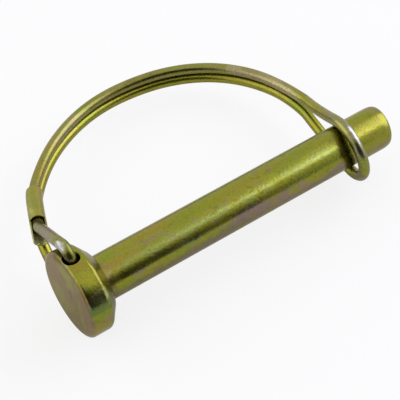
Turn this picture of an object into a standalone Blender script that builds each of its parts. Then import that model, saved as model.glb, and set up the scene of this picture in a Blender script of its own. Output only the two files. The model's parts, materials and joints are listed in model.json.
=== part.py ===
# A wire lock pin: a headed round pin, a sprung wire bail that hinges in the head,
# and the short sleeve that holds the two ends of the wire together.
# Lengths are in millimetres until a mesh is made. The work frame has the pin along X
# with the face of its head at 0, the bail bowing out along Y, and Z across the bail.
import math

import bmesh
import bpy
import numpy as np
from mathutils import Vector

for old in list(bpy.data.objects):
    bpy.data.objects.remove(old)

MM = 0.001
GAP = 0.3            # room left between pieces that touch on the real object

# Pin
shank_d = 12.7
pin_length = 103.9
head_d = 24.8
head_thick = 9.0
head_front_long = 1.0
head_front_deep = 1.5
head_rim = 5.2       # where the straight rim ends and the sloping back begins
head_edge_round = 1.6
seat_d = 17.0        # the flat that is left on the back of the head
neck_fillet = 0.7
tip_round_long = 2.5
tip_round_deep = 0.63
tip_lean_up = 0.044      # the end isn't cut quite square: it leans by this share
tip_lean_across = 0.025  # of the height along Y and of the distance along Z

# Wire
wire_d = 3.175
arch_height = 61.47  # from the pin's axis to the middle of the wire
arch_top_x = 52.52
arch_head_reach = 53.37
arch_tip_reach = 40.79
arch_shoulder = 21.29
head_bow = 1.876     # 2 is a true ellipse, more is squarer
tip_bow = 2.238
ring_x = 90.99
ring_drop = 1.45     # how far the ring's centre hangs below the pin's axis
ring_play = 0.78
ring_twist = 0.133   # the far side of the ring stands nearer the tip
flare_mid = 16.13    # height of the middle of the bend where the two strands part
flare_ease = 14.0    # half the height of that bend
leg_out = 11.2
leg_bend = 3.2
leg_lead = 3.0       # below the sleeve: where the leg starts outwards, and by how much
leg_lead_out = 0.75

# Cross hole in the head
hole_play = 1.2
hole_wall = 0.6      # metal left between the hole and the face

# Sleeve
sleeve_wall = 0.45
sleeve_foot_x = 7.08
sleeve_foot_y = 27.28
sleeve_top_y = 38.25
sleeve_lean = math.radians(22.97)
sleeve_straight = 3.9
sleeve_cut = 7.35     # how much further the sleeve runs on its far half
notch_from = math.radians(70)
notch_to = math.radians(105)
sleeve_top_bevel = 0.7
wire_ends_y = 33.0
wire_ends_gap = 1.0

# Facets
pin_sides = 72
wire_sides = 16
sleeve_sides = 28
turn_step = math.radians(7.5)
longest_step = 4.5

wire_r = wire_d / 2
strand_half = wire_r + GAP / 2
sleeve_bore_r = wire_r + GAP
sleeve_r = sleeve_bore_r + sleeve_wall
sleeve_half = (sleeve_r + wire_r + GAP) / 2
hole_r = (wire_d + hole_play) / 2
hole_x = hole_wall + hole_r
ring_r = shank_d / 2 + wire_r + ring_play
ring_lean = (arch_top_x + arch_tip_reach - ring_x) / arch_shoulder

# The strands run straight from the bend where they part to where they touch the ring's circle
flare_run = flare_mid + ring_drop
ring_join = math.atan2(strand_half, flare_run)
ring_join += math.acos(ring_r / math.hypot(strand_half, flare_run))
join_y = ring_r * math.cos(ring_join) - ring_drop
join_spread = ring_r * math.sin(ring_join)


def quarter(steps, start=0.0, end=90.0):
    return [math.radians(start + (end - start) * k / steps) for k in range(steps + 1)]


def smooth_line(points, per_span=12):
    """A smooth curve through the points, with the ends mirrored across Z."""
    pts = [Vector(p) for p in points]
    flip = Vector((1, 1, -1))
    pts = [pts[1] * flip] + pts + [pts[-2] * flip]
    line = []
    for a, b, c, d in zip(pts, pts[1:], pts[2:], pts[3:]):
        t1 = (b - a).length ** 0.5
        t2 = t1 + (c - b).length ** 0.5
        t3 = t2 + (d - c).length ** 0.5
        for k in range(per_span):
            t = t1 + (t2 - t1) * k / per_span
            ab = a.lerp(b, t / t1)
            bc = b.lerp(c, (t - t1) / (t2 - t1))
            cd = c.lerp(d, (t - t2) / (t3 - t2))
            abc = ab.lerp(bc, t / t2)
            bcd = bc.lerp(cd, (t - t1) / (t3 - t1))
            line.append(abc.lerp(bcd, (t - t1) / (t2 - t1)))
    line.append(pts[-2])
    return line


def arch_points():
    """The arch from the sleeve over the top to the tip's shoulder, as x and y."""
    points = []
    for a in quarter(9, 0, 90)[4:]:
        x = arch_top_x - arch_head_reach * math.cos(a) ** (2 / head_bow)
        y = arch_height * math.sin(a) ** (2 / head_bow)
        points.append((x, y))
    for a in quarter(8, 90, 0)[1:]:
        x = arch_top_x + arch_tip_reach * math.cos(a) ** (2 / tip_bow)
        y = arch_shoulder + (arch_height - arch_shoulder) * math.sin(a) ** (2 / tip_bow)
        points.append((x, y))
    return points


def spread_at(y):
    """Half the distance between the two strands on the tip side of the arch."""
    slope = (join_spread - strand_half) / (flare_mid - join_y)
    below = flare_mid + flare_ease - y
    if below <= 0:
        return strand_half
    if below < 2 * flare_ease:
        return strand_half + slope * below * below / (4 * flare_ease)
    return strand_half + slope * (flare_mid - y)


def half_path():
    """Half of the wire's middle line, from the cross hole round to the foot of the ring."""
    lower = leg_bend * 1.5
    outer = leg_out + leg_bend * math.cos(math.radians(30))
    path = [(hole_x, 0, leg_out * k / 2) for k in range(3)]
    for a in quarter(4, 0, 120)[1:]:
        path.append((hole_x, leg_bend * (1 - math.cos(a)), leg_out + leg_bend * math.sin(a)))
    foot = Vector((sleeve_foot_x, sleeve_foot_y, sleeve_half))
    rise = Vector((math.sin(sleeve_lean), math.cos(sleeve_lean), 0))
    leg_top = foot - rise * leg_lead + Vector((0, 0, leg_lead_out))
    leg_end = Vector((hole_x, lower, outer))
    for share in (0.25, 0.5, 0.75, 1):
        path.append(leg_end.lerp(leg_top, share))
    path.append(foot - rise * leg_lead / 2 + Vector((0, 0, leg_lead_out / 4)))
    path.append(foot)
    path.append(foot + rise * sleeve_straight)
    for k, (x, y) in enumerate(arch_points()):
        spread = spread_at(y) if x > arch_top_x else strand_half
        path.append((x, y, sleeve_half if k == 0 else spread))
    for share in (0.25, 0.5, 0.75):
        y = arch_shoulder + (join_y - arch_shoulder) * share
        path.append((ring_x + ring_lean * y, y, spread_at(y)))
    for a in quarter(7, math.degrees(ring_join), 180):
        y = ring_r * math.cos(a) - ring_drop
        path.append((ring_x + ring_lean * y, y, ring_r * math.sin(a)))
    return path


def place(point, side):
    """A point of the half path on the near side (1) or the far side (-1)."""
    fade = min(max((arch_shoulder - point.y) / arch_shoulder, 0), 1)
    if point.x < arch_top_x:
        fade = 0
    return Vector((point.x - ring_twist * fade * point.z * side, point.y, point.z * side))


def thin_out(line):
    """Fewer points: one for each small turn or each few millimetres."""
    kept = [line[0]]
    turned = 0
    last = (line[1] - line[0]).normalized()
    for k in range(1, len(line) - 1):
        ahead = (line[k + 1] - line[k]).normalized()
        turned += last.angle(ahead, 0)
        last = ahead
        if turned >= turn_step or (line[k] - kept[-1]).length >= longest_step:
            kept.append(line[k])
            turned = 0
    kept.append(line[-1])
    return kept


def frames(line, hint):
    """Two directions across the line at every point, carried along without twisting."""
    out = []
    across = hint
    for k, point in enumerate(line):
        before = line[max(k - 1, 0)]
        after = line[min(k + 1, len(line) - 1)]
        along = (after - before).normalized()
        across = (across - along * across.dot(along)).normalized()
        out.append((across, along.cross(across)))
    return out


half = smooth_line(half_path())
sleeve_zone = [k for k, p in enumerate(half) if p.x < arch_top_x]
leg_last = max(k for k in sleeve_zone if half[k].y < wire_ends_y - wire_ends_gap / 2)
arch_first = min(k for k in sleeve_zone if half[k].y > wire_ends_y + wire_ends_gap / 2)
near_leg = [place(p, 1) for p in reversed(half[:leg_last + 1])]
far_side = [place(p, -1) for p in half[1:]]
near_arch = [place(p, 1) for p in reversed(half[arch_first:-1])]
wire_line = thin_out(near_leg + far_side + near_arch)


def tube_rows(line, radius, sides, hint):
    rows = []
    for point, (u, v) in zip(line, frames(line, hint)):
        row = []
        for k in range(sides):
            a = 2 * math.pi * k / sides
            row.append(point + (u * math.cos(a) + v * math.sin(a)) * radius)
        rows.append(row)
    return rows


def skin(rows, closed_ends=True, ring=False):
    """Points and faces of a body made of rows of points, one row after another."""
    points = [p for row in rows for p in row]
    sides = len(rows[0])
    faces = []
    count = len(rows) if ring else len(rows) - 1
    for r in range(count):
        here = r * sides
        there = (r + 1) % len(rows) * sides
        for k in range(sides):
            n = (k + 1) % sides
            faces.append((here + k, here + n, there + n, there + k))
    if closed_ends and not ring:
        faces.append(tuple(range(sides - 1, -1, -1)))
        last = (len(rows) - 1) * sides
        faces.append(tuple(last + k for k in range(sides)))
    return points, faces


def pin_rows():
    """The pin's outline turned about X, from the face of the head to the tip."""
    head_r = head_d / 2
    shank_r = shank_d / 2
    outline = []
    for a in quarter(4):
        outline.append((head_front_long * (1 - math.cos(a)),
                        head_r - head_front_deep * (1 - math.sin(a))))
    edge_r = head_r - head_edge_round
    back_x = head_thick - head_rim
    back_r = seat_d / 2 - edge_r
    edge_end = math.atan2(back_r, back_x) + math.acos(head_edge_round / math.hypot(back_x, back_r))
    for a in quarter(4, 90, math.degrees(edge_end)):
        outline.append((head_rim + head_edge_round * math.cos(a),
                        edge_r + head_edge_round * math.sin(a)))
    outline.append((head_thick, seat_d / 2))
    for a in quarter(3):
        outline.append((head_thick + neck_fillet * (1 - math.cos(a)),
                        shank_r + neck_fillet * (1 - math.sin(a))))
    for a in quarter(6):
        outline.append((pin_length - tip_round_long * (1 - math.sin(a)),
                        shank_r - tip_round_deep * (1 - math.cos(a))))
    rows = []
    for x, r in outline:
        at_tip = x > pin_length / 2
        row = []
        for k in range(pin_sides):
            a = 2 * math.pi * k / pin_sides
            y = r * math.cos(a)
            z = r * math.sin(a)
            lean = tip_lean_up * y + tip_lean_across * z if at_tip else 0
            row.append(Vector((x + lean, y, z)))
        rows.append(row)
    return rows


def sleeve_rows():
    """Rows round the sleeve's wall: up the outside, over the top, down the bore."""
    zone = [k for k in sleeve_zone if sleeve_foot_y <= half[k].y <= sleeve_top_y]
    axis = [Vector((half[k].x, half[k].y, sleeve_half)) for k in zone][::3]
    down = -Vector((math.sin(sleeve_lean), math.cos(sleeve_lean), 0))
    steps = len(axis)
    dirs = frames(axis, Vector((0, 0, 1)))

    def row(k, radius, extra=0.0):
        u, v = dirs[k]
        along = (axis[k] - axis[k - 1]).normalized() if k else -down
        out = []
        for n in range(sleeve_sides):
            a = 2 * math.pi * n / sleeve_sides
            point = axis[k] + (u * math.cos(a) + v * math.sin(a)) * radius + along * extra
            if k == 0:
                share = (min(a, 2 * math.pi - a) - notch_from) / (notch_to - notch_from)
                share = min(max(share, 0), 1)
                point = point + down * sleeve_cut * share
            out.append(point)
        return out

    top = steps - 1
    outside = [row(k, sleeve_r) for k in range(steps)]
    bevel = [row(top, sleeve_r - sleeve_wall * 0.6, sleeve_top_bevel)]
    lip = [row(top, sleeve_bore_r, sleeve_top_bevel)]
    inside = [row(k, sleeve_bore_r) for k in range(top, -1, -1)]
    return outside + bevel + lip + inside


def rest_turn(groups):
    """The turn that lays the lowest points of three groups level on the floor."""
    up = Vector((0, 0, 1))
    for _ in range(40):
        a, b, c = [min(group, key=lambda p: p.dot(up)) for group in groups]
        normal = (b - a).cross(c - a).normalized()
        if normal.z < 0:
            normal = -normal
        if (normal - up).length < 1e-9:
            break
        up = normal
    return up.rotation_difference(Vector((0, 0, 1))).to_matrix()


pin_points, pin_faces = skin(pin_rows())
wire_points, wire_faces = skin(tube_rows(wire_line, wire_r, wire_sides, Vector((1, 0, 0))))
sleeve_points, sleeve_faces = skin(sleeve_rows(), ring=True)

head_group = [p for p in pin_points if p.x < head_thick]
ring_group = [p for p in wire_points if p.x > arch_top_x and p.y < arch_shoulder]
arch_group = [p for p in wire_points if p.y > arch_shoulder]
turn = rest_turn([head_group, ring_group, arch_group])
heading = turn @ Vector((1, 0, 0))
level = math.atan2(heading.y, heading.x)
steady = Vector((math.cos(level), math.sin(level), 0)).rotation_difference(Vector((1, 0, 0)))
turn = steady.to_matrix() @ turn

laid = np.array([turn @ p for p in pin_points + wire_points + sleeve_points])
low = laid.min(axis=0)
high = laid.max(axis=0)
shift = Vector(((low[0] + high[0]) / 2, (low[1] + high[1]) / 2, low[2]))


def world(point):
    return (turn @ Vector(point) - shift) * MM


def finish(name, colour, roughness):
    mat = bpy.data.materials.new(name)
    mat.use_nodes = True
    shader = mat.node_tree.nodes["Principled BSDF"]
    shader.inputs["Base Color"].default_value = (*colour, 1)
    shader.inputs["Roughness"].default_value = roughness
    shader.inputs["Metallic"].default_value = 0.9
    return mat


def body(name, points, faces, origin, mat):
    """One mesh object whose origin stands at the given point of the work frame."""
    start = world(origin)
    mesh = bpy.data.meshes.new(name)
    mesh.from_pydata([world(p) - start for p in points], [], faces)
    bm = bmesh.new()
    bm.from_mesh(mesh)
    bmesh.ops.recalc_face_normals(bm, faces=bm.faces)
    bm.to_mesh(mesh)
    bm.free()
    obj = bpy.data.objects.new(name, mesh)
    obj.location = start
    bpy.context.scene.collection.objects.link(obj)
    if mat:
        mesh.materials.append(mat)
    return obj


hinge = (hole_x, 0, 0)
pin = body("pin", pin_points, pin_faces, (0, 0, 0), finish("pin_zinc", (0.42, 0.38, 0.09), 0.36))
body("bail_wire", wire_points, wire_faces, hinge, finish("wire_zinc", (0.45, 0.40, 0.11), 0.34))
body("ferrule", sleeve_points, sleeve_faces, hinge, finish("sleeve_zinc", (0.44, 0.41, 0.12), 0.40))

drill_line = [Vector((hole_x, 0, z)) for z in (-head_d, head_d)]
drill_points, drill_faces = skin(tube_rows(drill_line, hole_r, 32, Vector((1, 0, 0))))
drill = body("drill", drill_points, drill_faces, hinge, None)
drill.hide_render = True
drill.display_type = "WIRE"
cut = pin.modifiers.new("cross_hole", "BOOLEAN")
cut.operation = "DIFFERENCE"
cut.object = drill
cut.solver = "EXACT"
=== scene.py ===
# The looks of the wire lock pin: the turned pin, the wire bail and the ferrule in yellow
# zinc, on a pale floor. Pieces are built in the pin's own frame, in millimetres: X along
# the pin from the face of its head, Y towards the top of the arch, Z across the bail.
# The near side, which the camera sees, is where Z is positive.
import json
import math

import bmesh
import bpy
from mathutils import Matrix, Vector


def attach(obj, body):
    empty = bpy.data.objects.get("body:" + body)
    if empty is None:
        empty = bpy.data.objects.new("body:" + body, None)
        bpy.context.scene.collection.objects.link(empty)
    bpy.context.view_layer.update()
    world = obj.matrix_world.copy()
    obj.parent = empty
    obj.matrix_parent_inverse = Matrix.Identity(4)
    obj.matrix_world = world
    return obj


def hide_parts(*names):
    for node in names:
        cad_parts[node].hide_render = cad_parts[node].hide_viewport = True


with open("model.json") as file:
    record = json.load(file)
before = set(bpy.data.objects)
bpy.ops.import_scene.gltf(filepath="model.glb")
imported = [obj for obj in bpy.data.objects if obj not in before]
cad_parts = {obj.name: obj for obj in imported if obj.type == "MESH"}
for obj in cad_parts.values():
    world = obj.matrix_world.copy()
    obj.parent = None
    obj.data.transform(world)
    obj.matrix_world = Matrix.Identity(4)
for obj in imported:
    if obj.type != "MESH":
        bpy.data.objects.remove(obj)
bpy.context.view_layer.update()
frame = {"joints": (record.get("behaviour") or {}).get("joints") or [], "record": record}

MM = 0.001

# Pin
shank_d = 12.7
pin_length = 103.9
head_d = 24.8
head_thick = 9.0
head_front_long = 1.0
head_front_deep = 1.5
head_rim = 5.2           # where the straight rim ends and the sloping back begins
head_edge_round = 1.6
seat_d = 17.0            # the flat that is left on the back of the head
seat_edge = 0.15         # rows this far inside the seat's two edges keep the flat looking flat
seat_neck = 0.3
neck_fillet = 0.7
tip_round_long = 2.5
tip_round_deep = 0.63
tip_lean_up = 0.044      # the end isn't cut quite square: it leans by this share
tip_lean_across = 0.025  # of the height along Y and of the distance along Z
face_rings = (0.97, 0.86, 0.72, 0.56, 0.38, 0.19)

# Wire
wire_d = 3.175
arch_height = 61.47      # from the pin's axis to the middle of the wire
arch_top_x = 52.52
arch_head_reach = 53.37
arch_tip_reach = 40.79
arch_shoulder = 21.29    # where the curve ends and the strands run straight to the ring
head_bow = 1.876         # 2 is a true ellipse, more is squarer
tip_bow = 2.238
ring_x = 90.99
ring_drop = 1.45         # how far the ring's centre hangs below the pin's axis
ring_play = 0.78
ring_twist = 0.133       # the far side of the ring stands nearer the tip
flare_mid = 16.13        # height of the middle of the bend where the two strands part
flare_ease = 14.0        # half the height of that bend
leg_out = 11.2           # how far the wire runs straight out of the pin's middle
leg_bend = 3.2
leg_turn = 120           # degrees from there to the straight of the leg
leg_lead = 3.0           # below the ferrule: where the leg starts outwards, and by how much
leg_lead_out = 0.75
strand_gap = 0.3

# Cross hole
hole_play = 1.2
hole_wall = 0.6          # metal left between the hole and the face
hole_flare = 0.45        # how far the rounded mouth opens out
hole_flare_deep = 0.5
hole_lead = 0.6          # how far below the mouth's rounding its last straight row is
hole_past = 0.1          # how far the rounding runs on past the head's rim

# Ferrule
sleeve_play = 0.3
sleeve_wall = 0.45
sleeve_foot_x = 7.08
sleeve_foot_y = 27.28
sleeve_top_y = 38.25
sleeve_lean = math.radians(22.97)
sleeve_straight = 3.9
sleeve_cut = 7.35        # how much further down the foot's far half runs
notch_from = math.radians(70)    # the notch's slope, as angles round the tube from its near side
notch_to = math.radians(105)
sleeve_top_bevel = 0.7
crown_share = 0.6        # how much of the wall the rounding at the top takes
wire_ends_y = 33.0       # the height at which the wire's two ends meet
wire_ends_gap = 1.0

# Facets
pin_sides = 256
hole_sides = 64
wire_sides = 32
sleeve_sides = 72
shank_rows = 24
curve_rows = 14          # between two points of the wire's path
wire_row_least = 0.35
pin_crease = math.radians(38)    # a sharper edge than this isn't shaded as a round one
wire_crease = math.radians(50)
hair = 0.01

wire_r = wire_d / 2
shank_r = shank_d / 2
head_r = head_d / 2
strand_half = wire_r + strand_gap / 2
sleeve_bore_r = wire_r + sleeve_play
sleeve_r = sleeve_bore_r + sleeve_wall
sleeve_half = (sleeve_r + wire_r + strand_gap) / 2
hole_r = (wire_d + hole_play) / 2
hole_x = hole_wall + hole_r
ring_r = shank_r + wire_r + ring_play
ring_lean = (arch_top_x + arch_tip_reach - ring_x) / arch_shoulder

# The strands run straight from the bend where they part to where they touch the ring's circle.
flare_run = flare_mid + ring_drop
ring_join = math.atan2(strand_half, flare_run)
ring_join += math.acos(ring_r / math.hypot(strand_half, flare_run))
join_y = ring_r * math.cos(ring_join) - ring_drop
join_spread = ring_r * math.sin(ring_join)


def pin_frame():
    """The pin's own frame in the world, from the record's mounts and its hinge."""
    mounts = {m["name"]: m for m in frame["record"]["mounts"]}
    along = -Vector(mounts["head_face"]["axis"]).normalized()
    across = Vector(frame["joints"][0]["axis"])
    across = (across - along * across.dot(along)).normalized()
    up = across.cross(along)
    place = Matrix((along, up, across)).transposed().to_4x4()
    place.translation = Vector(mounts["head_face"]["pos_m"])
    return place


place_pin = pin_frame()


# Shapes

def quarter(steps, start=0.0, end=90.0):
    """Evenly spaced angles from start to end, given in degrees."""
    return [math.radians(start + (end - start) * k / steps) for k in range(steps + 1)]


def smooth_line(points):
    """A smooth curve through the points, with the ends mirrored across Z."""
    pts = [Vector(p) for p in points]
    flip = Vector((1, 1, -1))
    pts = [pts[1] * flip] + pts + [pts[-2] * flip]
    line = []
    for a, b, c, d in zip(pts, pts[1:], pts[2:], pts[3:]):
        t1 = (b - a).length ** 0.5
        t2 = t1 + (c - b).length ** 0.5
        t3 = t2 + (d - c).length ** 0.5
        for k in range(curve_rows):
            t = t1 + (t2 - t1) * k / curve_rows
            ab = a.lerp(b, t / t1)
            bc = b.lerp(c, (t - t1) / (t2 - t1))
            cd = c.lerp(d, (t - t2) / (t3 - t2))
            abc = ab.lerp(bc, t / t2)
            bcd = bc.lerp(cd, (t - t1) / (t3 - t1))
            line.append(abc.lerp(bcd, (t - t1) / (t2 - t1)))
    line.append(pts[-2])
    return line


def arch_points():
    """The arch from the ferrule over its top to its shoulder above the ring."""
    points = []
    # The leg and the ferrule stand in for the first points of the curve
    for a in quarter(9, 0, 90)[4:]:
        x = arch_top_x - arch_head_reach * math.cos(a) ** (2 / head_bow)
        y = arch_height * math.sin(a) ** (2 / head_bow)
        points.append((x, y))
    for a in quarter(8, 90, 0)[1:]:
        x = arch_top_x + arch_tip_reach * math.cos(a) ** (2 / tip_bow)
        y = arch_shoulder + (arch_height - arch_shoulder) * math.sin(a) ** (2 / tip_bow)
        points.append((x, y))
    return points


def spread_at(y):
    """Half the distance between the two strands, at a height on the tip side of the arch."""
    slope = (join_spread - strand_half) / (flare_mid - join_y)
    below = flare_mid + flare_ease - y
    if below <= 0:
        return strand_half
    if below < 2 * flare_ease:
        return strand_half + slope * below * below / (4 * flare_ease)
    return strand_half + slope * (flare_mid - y)


def half_path():
    """Half of the wire's middle line, from the cross hole round to the foot of the ring."""
    path = [(hole_x, 0, leg_out * k / 2) for k in range(3)]
    for a in quarter(4, 0, leg_turn)[1:]:
        path.append((hole_x, leg_bend * (1 - math.cos(a)), leg_out + leg_bend * math.sin(a)))
    foot = Vector((sleeve_foot_x, sleeve_foot_y, sleeve_half))
    rise = Vector((math.sin(sleeve_lean), math.cos(sleeve_lean), 0))
    leg_top = foot - rise * leg_lead + Vector((0, 0, leg_lead_out))
    leg_end = Vector(path[-1])
    for share in (0.25, 0.5, 0.75, 1):
        path.append(leg_end.lerp(leg_top, share))
    path.append(foot - rise * leg_lead / 2 + Vector((0, 0, leg_lead_out / 4)))
    path.append(foot)
    path.append(foot + rise * sleeve_straight)
    for k, (x, y) in enumerate(arch_points()):
        spread = spread_at(y) if x > arch_top_x else strand_half
        path.append((x, y, sleeve_half if k == 0 else spread))
    for share in (0.25, 0.5, 0.75):
        y = arch_shoulder + (join_y - arch_shoulder) * share
        path.append((ring_x + ring_lean * y, y, spread_at(y)))
    for a in quarter(7, math.degrees(ring_join), 180):
        y = ring_r * math.cos(a) - ring_drop
        path.append((ring_x + ring_lean * y, y, ring_r * math.sin(a)))
    return path


def place(point, side):
    """A point of the half path on the near side (1) or the far side (-1)."""
    fade = min(max((arch_shoulder - point.y) / arch_shoulder, 0), 1)
    if point.x < arch_top_x:
        fade = 0
    return Vector((point.x - ring_twist * fade * point.z * side, point.y, point.z * side))


def spaced(line, least):
    """The line with no two points closer than the least distance, ends kept."""
    kept = [line[0]]
    for point in line[1:-1]:
        if (point - kept[-1]).length >= least:
            kept.append(point)
    kept.append(line[-1])
    return kept


def frames(line, hint):
    """Two directions across the line at every point, carried along without twisting."""
    out = []
    across = hint
    for k in range(len(line)):
        before = line[max(k - 1, 0)]
        after = line[min(k + 1, len(line) - 1)]
        along = (after - before).normalized()
        across = (across - along * across.dot(along)).normalized()
        out.append((across, along.cross(across)))
    return out


def tube_rows(line, radii, sides, hint):
    """Circles of points round a line, one for every point and radius."""
    rows = []
    for point, radius, (u, v) in zip(line, radii, frames(line, hint)):
        row = []
        for k in range(sides):
            a = 2 * math.pi * k / sides
            row.append(point + (u * math.cos(a) + v * math.sin(a)) * radius)
        rows.append(row)
    return rows


def lathe_rows(outline, sides):
    """Circles of points about the pin's axis, where those of the tip lean a little."""
    rows = []
    for x, r in outline:
        row = []
        at_tip = x > pin_length - tip_round_long - hair
        for k in range(sides):
            a = 2 * math.pi * k / sides
            y = r * math.cos(a)
            z = r * math.sin(a)
            lean = tip_lean_up * y + tip_lean_across * z if at_tip else 0
            row.append(Vector((x + lean, y, z)))
        rows.append(row)
    return rows


def skin(rows, ring=False):
    """Points and faces of a closed body made of rows of points, one after another."""
    points = [p for row in rows for p in row]
    sides = len(rows[0])
    faces = []
    for r in range(len(rows) if ring else len(rows) - 1):
        here = r * sides
        there = (r + 1) % len(rows) * sides
        for k in range(sides):
            n = (k + 1) % sides
            faces.append((here + k, here + n, there + n, there + k))
    if not ring:
        for first, outward in ((0, -1), (len(rows) - 1, 1)):
            loop = range(first * sides, (first + 1) * sides)
            middle = sum((points[k] for k in loop), Vector()) / sides
            points.append(middle)
            for k in range(sides):
                a = first * sides + k
                b = first * sides + (k + 1) % sides
                faces.append((a, b, len(points) - 1) if outward > 0 else (b, a, len(points) - 1))
    return points, faces


def piece(name, points, faces, mat):
    """A smooth mesh object, from points in the pin's own frame."""
    mesh = bpy.data.meshes.new(name)
    mesh.from_pydata([place_pin @ (p * MM) for p in points], [], faces)
    bm = bmesh.new()
    bm.from_mesh(mesh)
    bmesh.ops.recalc_face_normals(bm, faces=bm.faces)
    for face in bm.faces:
        face.smooth = True
    bm.to_mesh(mesh)
    bm.free()
    obj = bpy.data.objects.new(name, mesh)
    bpy.context.scene.collection.objects.link(obj)
    if mat:
        mesh.materials.append(mat)
    return obj


def pin_outline():
    """Half of the pin's section, from the face of the head to the end of the tip."""
    outline = [(0, (head_r - head_front_deep) * share) for share in reversed(face_rings)]
    for a in quarter(10):
        outline.append((head_front_long * (1 - math.cos(a)),
                        head_r - head_front_deep * (1 - math.sin(a))))
    outline.append((hole_x, head_r))
    edge_r = head_r - head_edge_round
    back_x = head_thick - head_rim
    back_r = seat_d / 2 - edge_r
    edge_end = math.atan2(back_r, back_x)
    edge_end += math.acos(head_edge_round / math.hypot(back_x, back_r))
    for a in quarter(10, 90, math.degrees(edge_end)):
        outline.append((head_rim + head_edge_round * math.cos(a),
                        edge_r + head_edge_round * math.sin(a)))
    x, r = outline[-1]
    for share in (0.2, 0.5, 0.8, 0.97):
        outline.append((x + (head_thick - x) * share, r + (seat_d / 2 - r) * share))
    outline.append((head_thick, seat_d / 2 - seat_edge))
    outline.append((head_thick, shank_r + neck_fillet + seat_neck))
    for a in quarter(8):
        outline.append((head_thick + neck_fillet * (1 - math.cos(a)),
                        shank_r + neck_fillet * (1 - math.sin(a))))
    straight = pin_length - tip_round_long - head_thick - neck_fillet
    for k in range(1, shank_rows):
        outline.append((head_thick + neck_fillet + straight * k / shank_rows, shank_r))
    for a in quarter(12):
        outline.append((pin_length - tip_round_long * (1 - math.sin(a)),
                        shank_r - tip_round_deep * (1 - math.cos(a))))
    end_r = shank_r - tip_round_deep
    for share in face_rings:
        outline.append((pin_length, end_r * share))
    return outline


def drill_cross_hole(obj):
    """Cuts the head's cross hole, with rounded mouths, through the finished pin."""
    mouth = math.sqrt(head_r ** 2 - hole_r ** 2)
    half = [(mouth - hole_flare_deep - hole_lead, hole_r)]
    for a in quarter(8):
        half.append((mouth - hole_flare_deep * (1 - math.sin(a)) + hole_past,
                     hole_r + hole_flare * (1 - math.cos(a))))
    half.append((head_d, hole_r + hole_flare))
    stations = [(-z, r) for z, r in reversed(half)] + [(0, hole_r)] + half
    line = [Vector((hole_x, 0, z)) for z, r in stations]
    radii = [r for z, r in stations]
    rows = tube_rows(line, radii, hole_sides, Vector((1, 0, 0)))
    drill = piece("drill", *skin(rows), None)
    cut = obj.modifiers.new("hole", "BOOLEAN")
    cut.operation = "DIFFERENCE"
    cut.object = drill
    cut.solver = "EXACT"
    bpy.context.view_layer.update()
    shown = obj.evaluated_get(bpy.context.evaluated_depsgraph_get())
    mesh = bpy.data.meshes.new_from_object(shown)
    obj.modifiers.clear()
    obj.data = mesh
    bpy.data.objects.remove(drill)
    for face in mesh.polygons:
        face.use_smooth = True
    mesh.set_sharp_from_angle(angle=pin_crease)


def sleeve_rows(line):
    """Rows round the ferrule's wall: up the outside, over the top, down the bore."""
    zone = [p for p in line if sleeve_foot_y <= p.y <= sleeve_top_y and p.x < arch_top_x]
    axis = [Vector((p.x, p.y, sleeve_half)) for p in zone][::3]
    down = -Vector((math.sin(sleeve_lean), math.cos(sleeve_lean), 0))
    dirs = frames(axis, Vector((0, 0, 1)))
    mid_r = (sleeve_r + sleeve_bore_r) / 2

    def row(k, radius, extra=0.0):
        """Points round the k-th point of the axis, moved on along it by extra."""
        u, v = dirs[k]
        along = (axis[k] - axis[k - 1]).normalized() if k else -down
        out = []
        for n in range(sleeve_sides):
            a = 2 * math.pi * n / sleeve_sides
            point = axis[k] + (u * math.cos(a) + v * math.sin(a)) * radius + along * extra
            if k == 0:
                share = (min(a, 2 * math.pi - a) - notch_from) / (notch_to - notch_from)
                share = min(max(share, 0), 1)
                point = point + down * sleeve_cut * share
            out.append(point)
        return out

    top = len(axis) - 1
    lip = sleeve_wall / 2
    foot = [row(0, mid_r + lip * math.cos(a), lip * (1 - math.sin(a))) for a in quarter(5, 90, 0)]
    outside = [row(k, sleeve_r) for k in range(1, top + 1)]
    crown = []
    for a in quarter(6)[1:]:
        crown.append(row(top, sleeve_r - sleeve_wall * crown_share * (1 - math.cos(a)),
                         sleeve_top_bevel * math.sin(a)))
    crown.append(row(top, sleeve_bore_r, sleeve_top_bevel))
    inside = [row(k, sleeve_bore_r) for k in range(top, 0, -1)]
    heel = [row(0, mid_r - lip * math.cos(a), lip * (1 - math.sin(a))) for a in quarter(5, 0, 90)]
    return foot + outside + crown + inside + heel[:-1]


# Materials

class Net:
    """A small helper that adds shader nodes to a tree and joins them up."""

    def __init__(self, tree):
        self.nodes = tree.nodes
        self.links = tree.links

    def put(self, socket, value):
        """Joins a node's output to the socket, or sets the socket to a plain value."""
        if isinstance(value, bpy.types.NodeSocket):
            self.links.new(value, socket)
        else:
            socket.default_value = value

    def math(self, kind, a, b):
        node = self.nodes.new("ShaderNodeMath")
        node.operation = kind
        self.put(node.inputs[0], a)
        self.put(node.inputs[1], b)
        return node.outputs[0]

    def vector(self, kind, a, b=(0, 0, 0)):
        """A vector worked out from two others, or a number where the kind gives one."""
        node = self.nodes.new("ShaderNodeVectorMath")
        node.operation = kind
        self.put(node.inputs[0], a)
        self.put(node.inputs[1], b)
        return node.outputs["Value" if kind in ("DOT_PRODUCT", "LENGTH") else "Vector"]

    def step(self, value, low, high, out_low=0.0, out_high=1.0):
        """Goes smoothly from one output to the other while the value goes from low to high."""
        node = self.nodes.new("ShaderNodeMapRange")
        node.interpolation_type = "SMOOTHSTEP"
        self.put(node.inputs["Value"], value)
        node.inputs["From Min"].default_value = low
        node.inputs["From Max"].default_value = high
        node.inputs["To Min"].default_value = out_low
        node.inputs["To Max"].default_value = out_high
        return node.outputs["Result"]


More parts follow.
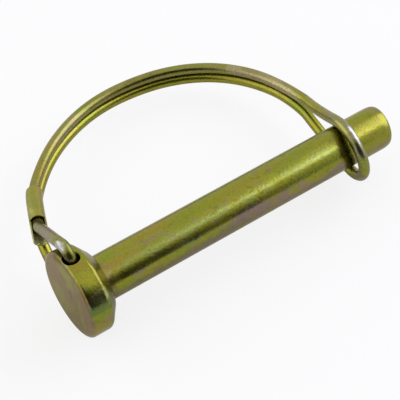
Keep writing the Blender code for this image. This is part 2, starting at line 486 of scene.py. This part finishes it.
class PinNet(Net):
    """The nodes of a new material, with places and sizes in the pin's own frame."""

    def __init__(self, name):
        self.mat = bpy.data.materials.new(name)
        self.mat.use_nodes = True
        super().__init__(self.mat.node_tree)
        self.shader = self.nodes["Principled BSDF"]
        self.coords = self.pin_coords()

    def pin_coords(self):
        """The object's coordinates, in metres, turned into the pin's own frame."""
        here = self.nodes.new("ShaderNodeTexCoord").outputs["Object"]
        here = self.vector("SUBTRACT", here, place_pin.translation)
        joined = self.nodes.new("ShaderNodeCombineXYZ")
        for k in range(3):
            self.put(joined.inputs[k], self.vector("DOT_PRODUCT", here, place_pin.col[k].xyz))
        return joined.outputs[0]

    def across(self):
        """The coordinate across the bail, in metres."""
        node = self.nodes.new("ShaderNodeSeparateXYZ")
        self.put(node.inputs[0], self.coords)
        return node.outputs["Z"]

    def noise(self, sizes, detail, rough, seed):
        """Noise with marks of about these sizes in millimetres, along the pin, up and across."""
        place = self.nodes.new("ShaderNodeMapping")
        place.vector_type = "POINT"
        self.put(place.inputs["Vector"], self.coords)
        place.inputs["Scale"].default_value = [1 / (s * MM) for s in sizes]
        node = self.nodes.new("ShaderNodeTexNoise")
        node.noise_dimensions = "4D"
        self.put(node.inputs["Vector"], place.outputs["Vector"])
        node.inputs["W"].default_value = seed
        node.inputs["Scale"].default_value = 1.0
        node.inputs["Detail"].default_value = detail
        node.inputs["Roughness"].default_value = rough
        return node.outputs["Fac"]

    def mix(self, share, a, b):
        """The first colour where the share is 0, the second where it is 1."""
        node = self.nodes.new("ShaderNodeMix")
        node.data_type = "RGBA"
        self.put(node.inputs[0], share)
        self.put(node.inputs[6], a if isinstance(a, bpy.types.NodeSocket) else (*a, 1))
        self.put(node.inputs[7], b if isinstance(b, bpy.types.NodeSocket) else (*b, 1))
        return node.outputs[2]

    def spot(self, centre, sizes, soft, ragged):
        """1 inside an ellipsoid at a place of the pin's frame, fading out at its edge."""
        away = self.vector("SUBTRACT", self.coords, [c * MM for c in centre])
        away = self.vector("MULTIPLY", away, [1 / (s * MM) for s in sizes])
        far = self.math("ADD", self.vector("LENGTH", away), ragged)
        return self.step(far, 1 - soft, 1 + soft, 1.0, 0.0)

    def bump(self, height, strength, distance, under=None):
        node = self.nodes.new("ShaderNodeBump")
        node.inputs["Strength"].default_value = strength
        node.inputs["Distance"].default_value = distance * MM
        self.put(node.inputs["Height"], height)
        if under is not None:
            self.put(node.inputs["Normal"], under)
        return node.outputs["Normal"]


# Tints of the zinc, and of painted highlights and painted shade, as linear red, green and blue
OLIVE = (0.265, 0.265, 0.028)
YELLOW = (0.305, 0.290, 0.030)
GREEN = (0.205, 0.262, 0.024)
AMBER = (0.300, 0.225, 0.034)
TEAL = (0.150, 0.215, 0.110)
PINK = (0.275, 0.200, 0.130)
FACE_TAN = (0.215, 0.150, 0.010)
FACE_PINK = (0.240, 0.125, 0.040)
FACE_OLIVE = (0.280, 0.272, 0.0)
# Pinkish tint of the shank's underside, made darker so that it is partly painted shade
UNDERSIDE_TINT_AND_SHADE = (0.195, 0.160, 0.080)
MAUVE = (0.225, 0.165, 0.145)
# Painted highlight: pale green-yellow along the line where the lamp's highlight runs down the
# shank
LIME_HIGHLIGHT = (0.265, 0.315, 0.080)
RUST = (0.160, 0.085, 0.040)
# Brown of the grain and flecks, also used as painted shade in some patches
BROWN = (0.120, 0.085, 0.026)
DARK = (0.045, 0.038, 0.015)
# Cream tint of the wire that colours and brightens its highlights, so partly a painted highlight
CREAM_AND_HIGHLIGHT = (0.300, 0.255, 0.130)
EDGE = (0.248, 0.205, 0.095)
# A brighter buff tint of the wire that is partly a painted highlight
BUFF_AND_HIGHLIGHT = (0.420, 0.370, 0.190)
# Painted sheen: a pale tint that brightens the rim's lower back edge
RIM_PAINTED_SHEEN = (0.450, 0.450, 0.160)
SHADE = (0.115, 0.165, 0.048)
GREY = (0.265, 0.222, 0.165)
# Silvery bare zinc, set where the highlights fall and bright enough to be partly a painted
# highlight
SILVER_AND_HIGHLIGHT = (0.500, 0.500, 0.490)
STRAW = (0.270, 0.248, 0.070)
ASH = (0.265, 0.250, 0.150)
# Painted highlight: a pale tint for the bright edges of the ferrule and the ring
PALE_PAINTED_HIGHLIGHT = (0.370, 0.355, 0.075)
# Painted light: a bright tint that makes the shaded inside of the ferrule's foot look lit
INSIDE_PAINTED_LIGHT = (0.520, 0.510, 0.250)
# Painted shade: a dark olive that dims the wire where it should look darker
PAINTED_SHADE_OLIVE = (0.165, 0.160, 0.032)
FERRULE = (0.268, 0.255, 0.030)
zinc_sheen = (0.90, 0.88, 0.80, 1)

side_blend = 0.8    # how far each side of Z = 0 a base colour runs into that of the other side


def zinc(name, base, other_side, patches, rough, seed, metal=1.0):
    """Yellow zinc: a base colour, iridescent patches and patches of painted highlight and shade,
    fine grain, pits and bump.
    """
    net = PinNet(name)
    wide = net.noise((26, 9, 9), 3.0, 0.55, seed)
    mid = net.noise((5, 2.5, 2.5), 4.0, 0.6, seed + 3.1)
    fine = net.noise((0.50, 0.36, 0.36), 2.0, 0.6, seed + 5.7)
    streak = net.noise((11, 2.4, 2.4), 5.0, 0.62, seed + 9.0)
    thin_streak = net.noise((9, 2.0, 2.0), 5.0, 0.65, seed + 12.0)
    speckle = net.noise((1.3, 0.8, 0.8), 3.0, 0.7, seed + 15.0)
    pit = net.noise((0.9, 0.7, 0.7), 2.0, 0.5, seed + 21.0)
    fleck = net.noise((2.4, 1.6, 1.6), 4.0, 0.65, seed + 27.0)
    pits = net.step(pit, 0.70, 0.76, 0.0, 0.75)

    near = net.step(net.across(), -side_blend * MM, side_blend * MM)
    colour = net.mix(near, other_side, base)
    for share, tint in ((net.step(wide, 0.48, 0.64, 0, 0.6), GREEN),
                        (net.step(streak, 0.56, 0.70, 0, 0.45), AMBER),
                        (net.step(thin_streak, 0.60, 0.70, 0, 0.55), PINK),
                        (net.step(speckle, 0.55, 0.66, 0, 0.4), PINK)):
        colour = net.mix(share, colour, tint)
    wobble = net.step(mid, 0.3, 0.7, -1.2, 1.2)
    for tint, amount, soft, centre, sizes in patches:
        ragged = net.math("MULTIPLY", wobble, soft)
        share = net.math("MULTIPLY", net.spot(centre, sizes, soft, ragged), amount)
        colour = net.mix(share, colour, tint)
    for share, tint in ((net.step(fleck, 0.55, 0.64, 0, 0.4), PINK),
                        (net.step(fleck, 0.36, 0.45, 0.3, 0), BROWN),
                        (net.step(fine, 0.38, 0.66, 0, 0.24), BROWN),
                        (pits, DARK)):
        colour = net.mix(share, colour, tint)

    net.put(net.shader.inputs["Base Color"], colour)
    net.shader.inputs["Metallic"].default_value = metal
    net.shader.inputs["Specular Tint"].default_value = zinc_sheen
    net.put(net.shader.inputs["Roughness"], net.step(mid, 0.3, 0.7, rough - 0.04, rough + 0.05))
    normal = net.bump(mid, 0.10, 0.08)
    normal = net.bump(fine, 1.0, 0.040, normal)
    net.put(net.shader.inputs["Normal"], net.bump(pits, 0.4, -0.03, normal))
    return net.mat


# Patches of another tint, some of them painted highlights and painted shade. Each gives the tint,
# how strong it is, how soft its edge is, and in the pin's own frame its centre and how far it
# reaches from there along X, Y and Z.
pin_patches = [
    # The face of the head and the edge round it
    (EDGE, 0.9, 0.2, (0, 0, 0), (0.7, 60, 60)),
    (FACE_TAN, 0.95, 0.08, (0, 0, 0), (1.2, 11.6, 11.6)),
    (FACE_PINK, 0.9, 0.4, (0, 6.5, 5), (1.2, 3.5, 5)),
    (FACE_PINK, 0.9, 0.4, (0, -8.5, 2), (1.2, 3, 8)),
    (FACE_PINK, 0.7, 0.4, (0, 0.5, 1), (1.2, 3, 3)),
    (FACE_OLIVE, 0.9, 0.5, (0, -0.6, 9.0), (1.2, 3.0, 2.8)),
    (FACE_OLIVE, 0.7, 0.5, (0, -1.6, 6.0), (1.2, 2.0, 2.2)),
    (FACE_OLIVE, 0.8, 0.4, (0, -5.9, -2.6), (1.2, 1.0, 5.5)),
    (FACE_OLIVE, 0.6, 0.6, (0, 4.2, -4.2), (1.2, 4.5, 4.0)),
    (DARK, 0.8, 0.4, (0, -1.7, 2.2), (1.2, 0.6, 1.5)),
    # The rim
    (RUST, 0.6, 0.5, (0.8, 3.6, 11.6), (1.6, 3.2, 1.4)),
    (YELLOW, 0.8, 0.5, (3, -6.6, 10.4), (4, 3, 3)),
    (AMBER, 0.8, 0.5, (3, -3.6, 12), (3, 1.3, 1.4)),
    (TEAL, 0.85, 0.5, (3, -11.4, 4.6), (3, 1.2, 1.9)),
    (GREEN, 0.8, 0.5, (3, -12.2, 2.4), (3.4, 1.2, 1.7)),
    # Painted sheen on the rim's lower back edge
    (RIM_PAINTED_SHEEN, 0.8, 0.3, (4.4, -10.5, 6.5), (3.0, 1.5, 1.6)),
    (SHADE, 0.8, 0.4, (3, -11.9, 3.5), (3.6, 0.9, 1.3)),
    (PINK, 0.7, 0.5, (4.5, -12.3, -1.0), (1.8, 1.2, 1.5)),
    (AMBER, 0.7, 0.5, (2.8, -12.0, -3.6), (3, 1.6, 2.0)),
    # The back of the head and the neck
    (BROWN, 0.65, 0.3, (8.2, 0, 0), (1.7, 15, 15)),
    (PINK, 0.6, 0.5, (8.0, 0.5, 9.3), (1.5, 2.4, 2)),
    # Painted shade in the corner under the head, at the neck
    (BROWN, 0.8, 0.5, (9.9, -5.6, 2.6), (1.5, 2.4, 4.0)),
    # Painted shade that dims the highlight on the rounding of the head's back edge
    (BROWN, 0.45, 0.5, (6.0, -6.2, 9.8), (1.0, 4.5, 3.0)),
    (PINK, 0.6, 0.5, (10.8, -2.9, 5.6), (1.5, 1.5, 1.5)),
    (GREEN, 0.6, 0.5, (12.2, 0.6, 6.2), (1.9, 1.5, 1.5)),
    # The shank and the tip
    # Pinkish underside of the shank, partly painted shade
    (UNDERSIDE_TINT_AND_SHADE, 0.85, 0.4, (34, -6.3, -2.0), (30, 1.4, 2.9)),
    (AMBER, 0.75, 0.5, (15.5, -3.2, 5.4), (5.5, 1.4, 1.6)),
    (AMBER, 0.75, 0.5, (28, 1.0, 6.2), (5, 1.4, 1.5)),
    (PINK, 0.7, 0.7, (26.5, -1.6, 6.1), (4.5, 0.6, 1)),
    (GREEN, 0.5, 0.5, (38, -0.5, 6.2), (7, 2, 2)),
    (AMBER, 0.4, 0.5, (60, -0.4, 6.3), (8, 1.4, 1.5)),
    (MAUVE, 0.7, 0.4, (64.5, -0.5, 6.3), (0.9, 0.5, 0.6)),
    (MAUVE, 0.7, 0.5, (18.6, -6, 2.1), (2.2, 0.6, 0.7)),
    (TEAL, 0.5, 0.5, (33, -5.9, 2.5), (6, 0.7, 0.9)),
    (GREEN, 0.7, 0.5, (14, -6.2, 0.9), (3, 0.8, 1.1)),
    # Painted highlight along the shank's highlight line, in two stretches
    (LIME_HIGHLIGHT, 0.75, 0.5, (38, -3.9, 5.0), (22, 1.2, 1.2)),
    (LIME_HIGHLIGHT, 0.6, 0.5, (76, -3.9, 5.0), (9, 1.2, 1.2)),
    (GREEN, 0.7, 0.5, (30, -6.2, 1.0), (5, 0.7, 1.2)),
    (MAUVE, 0.6, 0.5, (40, -6.3, -1.4), (7, 0.8, 1.2)),
    (MAUVE, 0.85, 0.5, (57, -6.2, 1.0), (10, 0.8, 1.7)),
    (PINK, 0.85, 0.5, (68, -6.2, -1.2), (11, 1.2, 1.7)),
    (GREEN, 0.5, 0.5, (73, -5.4, 3.0), (7, 1.2, 1.3)),
    (PINK, 0.8, 0.5, (71, -6.2, 1.3), (1.5, 0.8, 0.8)),
    (MAUVE, 0.8, 0.5, (84, -6.2, -1.0), (8, 0.9, 1.7)),
    # Painted shade and painted reflection of the ring on the shank beside it
    (BROWN, 0.45, 0.5, (86.6, -3.2, 5.0), (1.6, 4.5, 3.5)),
    (PINK, 0.7, 0.5, (102.6, 2.2, 5.4), (1.8, 2.6, 2.5)),
    (PINK, 0.6, 0.5, (100, -6, -1.4), (5, 1.1, 1.9)),
]
wire_patches = [
    # The arch
    # Cream tint on the arch's highlight, partly a painted highlight
    (CREAM_AND_HIGHLIGHT, 0.45, 0.4, (34, 56, 1.8), (11, 5, 1.7)),
    # Painted shade on the top of the arch, which keeps its highlight short
    (PAINTED_SHADE_OLIVE, 0.65, 0.4, (56, 59.6, 2.6), (13, 1.6, 1.1)),
    # Buff tint on the near strand by the ring, partly a painted highlight
    (BUFF_AND_HIGHLIGHT, 0.85, 0.4, (86.5, 44, 2.4), (2.6, 5, 1.2)),
    (BUFF_AND_HIGHLIGHT, 0.85, 0.4, (91.2, 30, 2.4), (1.6, 11, 1.3)),
    (AMBER, 0.8, 0.5, (17, 44, 2), (9, 10, 1.8)),
    # Cream tint on the highlight by the ring, partly a painted highlight
    (CREAM_AND_HIGHLIGHT, 0.75, 0.4, (89, 41, 1.8), (5, 12, 1.7)),
    # The ring
    (YELLOW, 0.6, 0.5, (92.3, 14, 4.2), (3, 8, 3)),
    (ASH, 0.85, 0.4, (90.0, -5.0, 7.0), (3.0, 9.0, 5.0)),
    # Painted highlight on the ring's near edge
    (PALE_PAINTED_HIGHLIGHT, 0.8, 0.4, (88.2, -1.0, 9.2), (0.8, 5.0, 1.6)),
    # Silvery tint that is partly a painted highlight on the ring
    (SILVER_AND_HIGHLIGHT, 0.95, 0.4, (90.3, -6.0, 8.9), (1.1, 3.6, 1.9)),
    (MAUVE, 0.6, 0.5, (91, -8.5, -4.5), (3, 3, 4.5)),
    # The legs
    (GREY, 0.85, 0.5, (4.6, 16.5, 8), (4, 8, 5)),
    # Silvery tint that is partly a painted highlight on the near leg's bend
    (SILVER_AND_HIGHLIGHT, 0.95, 0.4, (1.5, 3.0, 15.2), (1.4, 2.6, 1.4)),
    # Painted shade at the foot of the near leg
    (PAINTED_SHADE_OLIVE, 0.9, 0.3, (3.6, 0.4, 13.8), (2.3, 2.4, 2.4)),
    # Painted dark reflection of the cross hole on the foot of the near leg
    (DARK, 0.85, 0.4, (1.6, -0.1, 13.5), (0.9, 1.3, 1.4)),
    (RUST, 0.5, 0.5, (4.0, 20, -6), (1.6, 4, 3)),
]
sleeve_patches = [
    (AMBER, 0.8, 0.4, (9.4, 28.6, 3.8), (1.0, 2.6, 1.0)),
    (AMBER, 0.8, 0.4, (11.2, 32.6, 3.8), (1.0, 2.6, 1.0)),
    (AMBER, 0.8, 0.4, (12.8, 36.3, 3.8), (1.0, 2.6, 1.0)),
    # Painted highlight along the ferrule's left edge
    (PALE_PAINTED_HIGHLIGHT, 0.8, 0.4, (6.8, 29.6, 4.0), (0.8, 3.0, 1.0)),
    # Painted light on the inside of the ferrule's foot, where the wire shades it
    (INSIDE_PAINTED_LIGHT, 0.9, 0.25, (5.2, 22.6, 1.6), (3.0, 4.6, 1.4)),
    (PINK, 0.5, 0.5, (7.5, 24, 1.5), (2.0, 6.0, 2.0)),
    (GREEN, 0.5, 0.5, (9.5, 33, 4.4), (1.0, 5.0, 2.0)),
]
pin_mat = zinc("pin_yellow_zinc", OLIVE, OLIVE, pin_patches, rough=0.17, seed=1.0)
wire_mat = zinc("wire_yellow_zinc", STRAW, YELLOW, wire_patches, rough=0.25, seed=40.0)
sleeve_mat = zinc("ferrule_yellow_zinc", FERRULE, FERRULE, sleeve_patches, rough=0.30, seed=80.0,
                  metal=0.55)


# Pieces

pin = piece("pin_turned", *skin(lathe_rows(pin_outline(), pin_sides)), pin_mat)
drill_cross_hole(pin)
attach(pin, "pin")
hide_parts("pin")

# The wire runs down the near leg, up the far one, over the far side of the arch, round the
# ring, and back over the near side. Its two ends meet inside the ferrule.
half = smooth_line(half_path())
head_side = [k for k, p in enumerate(half) if p.x < arch_top_x]
leg_last = max(k for k in head_side if half[k].y < wire_ends_y - wire_ends_gap / 2)
arch_first = min(k for k in head_side if half[k].y > wire_ends_y + wire_ends_gap / 2)
near_leg = [place(p, 1) for p in reversed(half[:leg_last + 1])]
far_side = [place(p, -1) for p in half[1:]]
near_arch = [place(p, 1) for p in reversed(half[arch_first:-1])]
wire_line = spaced(near_leg + far_side + near_arch, wire_row_least)
wire_rows = tube_rows(wire_line, [wire_r] * len(wire_line), wire_sides, Vector((1, 0, 0)))
wire = piece("bail_wire_drawn", *skin(wire_rows), wire_mat)
wire.data.set_sharp_from_angle(angle=wire_crease)
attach(wire, "bail")
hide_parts("bail_wire")

sleeve = piece("ferrule_tube", *skin(sleeve_rows(half), ring=True), sleeve_mat)
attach(sleeve, "bail")
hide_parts("ferrule")

# Camera: where it stands and what it faces, in the pin's own frame

camera_from = Vector((-95.84, -234.17, 262.78))
camera_right = Vector((0.81600, -0.57201, -0.08341))
camera_away = Vector((0.37108, 0.62898, -0.68314))
camera_lens = 126.70
camera_sensor = 36.0
camera_clip = 0.01    # metres


def stand_camera():
    """The camera where the photograph was taken from."""
    data = bpy.data.cameras.new("camera")
    data.lens = camera_lens
    data.sensor_width = camera_sensor
    data.clip_start = camera_clip
    cam = bpy.data.objects.new("camera", data)
    bpy.context.scene.collection.objects.link(cam)
    turn = place_pin.to_3x3()
    right = turn @ camera_right
    away = turn @ camera_away
    right = (right - away * right.dot(away)).normalized()
    up = right.cross(away.normalized())
    spot = Matrix((right, up, -away.normalized())).transposed().to_4x4()
    spot.translation = place_pin @ (camera_from * MM)
    cam.matrix_world = spot
    bpy.context.scene.camera = cam


stand_camera()


# Floor, background and lamps. Azimuths, elevations and widths are in degrees, seen from the pin.

floor_reach = 3.0       # metres
floor_tone = (0.80, 0.80, 0.80, 1)
floor_rough = 0.9
floor_specular = 0.1
floor_glow = 0.80       # how much plain white is mixed into the floor for the camera
floor_shine = 0.05      # and in reflections

# The one dark zone of the room, which the zinc reflects as its dark bands
dark_azimuth = -108
dark_elevation = 10
dark_half_width = 44.5
dark_half_height = 53
dark_soft = 0.07
dark_level = 0.05
dark_out_of_reach = 9   # keeps the zone off the opposite side of the room

room_level = 0.95       # how strongly the room lights the pin
lamp_away = 1.3         # metres
white_light = (1, 1, 1)
cool_light = (1, 1, 1.35)


def pale_floor():
    """A pale floor that shows nearly white to the camera and keeps the pin's soft shadow."""
    mesh = bpy.data.meshes.new("floor")
    square = ((-1, -1), (1, -1), (1, 1), (-1, 1))
    corners = [(x * floor_reach, y * floor_reach, 0) for x, y in square]
    mesh.from_pydata(corners, [], [(0, 1, 2, 3)])
    obj = bpy.data.objects.new("floor", mesh)
    bpy.context.scene.collection.objects.link(obj)
    mat = bpy.data.materials.new("floor_pale")
    mat.use_nodes = True
    net = Net(mat.node_tree)
    matte = net.nodes["Principled BSDF"]
    matte.inputs["Base Color"].default_value = floor_tone
    matte.inputs["Roughness"].default_value = floor_rough
    matte.inputs["Specular IOR Level"].default_value = floor_specular
    glow = net.nodes.new("ShaderNodeEmission")
    glow.inputs["Color"].default_value = (1, 1, 1, 1)
    glow.inputs["Strength"].default_value = 1.0
    ray = net.nodes.new("ShaderNodeLightPath").outputs
    white = net.math("MULTIPLY", ray["Is Camera Ray"], floor_glow)
    for kind in ("Is Glossy Ray", "Is Transmission Ray"):
        white = net.math("ADD", white, net.math("MULTIPLY", ray[kind], floor_shine))
    blend = net.nodes.new("ShaderNodeMixShader")
    net.put(blend.inputs[0], white)
    net.put(blend.inputs[1], matte.outputs[0])
    net.put(blend.inputs[2], glow.outputs[0])
    net.put(net.nodes["Material Output"].inputs["Surface"], blend.outputs[0])
    mesh.materials.append(mat)


def toward(azimuth, elevation):
    """The direction at an azimuth and an elevation."""
    a = math.radians(azimuth)
    e = math.radians(elevation)
    return Vector((math.cos(a) * math.cos(e), math.sin(a) * math.cos(e), math.sin(e)))


def room():
    """White for the camera and in reflections, but dark round where the camera stands."""
    world = bpy.data.worlds.new("room")
    bpy.context.scene.world = world
    world.use_nodes = True
    net = Net(world.node_tree)
    look = net.nodes.new("ShaderNodeTexCoord").outputs["Generated"]
    middle = toward(dark_azimuth, dark_elevation)
    side = Vector((0, 0, 1)).cross(middle).normalized()
    far = net.math("MULTIPLY", net.math("LESS_THAN", net.vector("DOT_PRODUCT", look, middle), 0),
                   dark_out_of_reach)
    for axis, half_angle in ((side, dark_half_width), (middle.cross(side), dark_half_height)):
        share = net.math("DIVIDE", net.vector("DOT_PRODUCT", look, axis),
                         math.sin(math.radians(half_angle)))
        far = net.math("ADD", far, net.math("MULTIPLY", share, share))
    shade = net.step(far, 1 - dark_soft, 1 + dark_soft, dark_level, 1)
    ray = net.nodes.new("ShaderNodeLightPath").outputs
    mirrored = net.math("MAXIMUM", ray["Is Glossy Ray"], ray["Is Transmission Ray"])
    level = net.math("MULTIPLY", net.math("MAXIMUM", mirrored, room_level), shade)
    shown = net.math("MAXIMUM", level, ray["Is Camera Ray"])
    tone = net.nodes.new("ShaderNodeCombineColor")
    for k in range(3):
        net.put(tone.inputs[k], shown)
    back = net.nodes["Background"]
    back.inputs["Strength"].default_value = 1.0
    net.put(back.inputs["Color"], tone.outputs[0])


def softbox(name, azimuth, elevation, width, height, strength, tone):
    """A lamp that faces the pin: its place, its width and height as angles, its light."""
    spot = toward(azimuth, elevation) * lamp_away
    data = bpy.data.lights.new(name, "AREA")
    data.shape = "RECTANGLE"
    data.size = 2 * lamp_away * math.tan(math.radians(width / 2))
    data.size_y = 2 * lamp_away * math.tan(math.radians(height / 2))
    data.energy = strength * math.pi * data.size * data.size_y
    data.color = tone
    lamp = bpy.data.objects.new(name, data)
    bpy.context.scene.collection.objects.link(lamp)
    lamp.location = spot
    lamp.rotation_mode = "QUATERNION"
    lamp.rotation_quaternion = (-spot).to_track_quat("-Z", "Y")


pale_floor()
room()
softbox("lamp_right", -12, 37, 50, 42, 2.05, cool_light)
softbox("lamp_left", 140, 25, 66, 46, 0.7, white_light)

bpy.context.scene.view_settings.view_transform = "Standard"
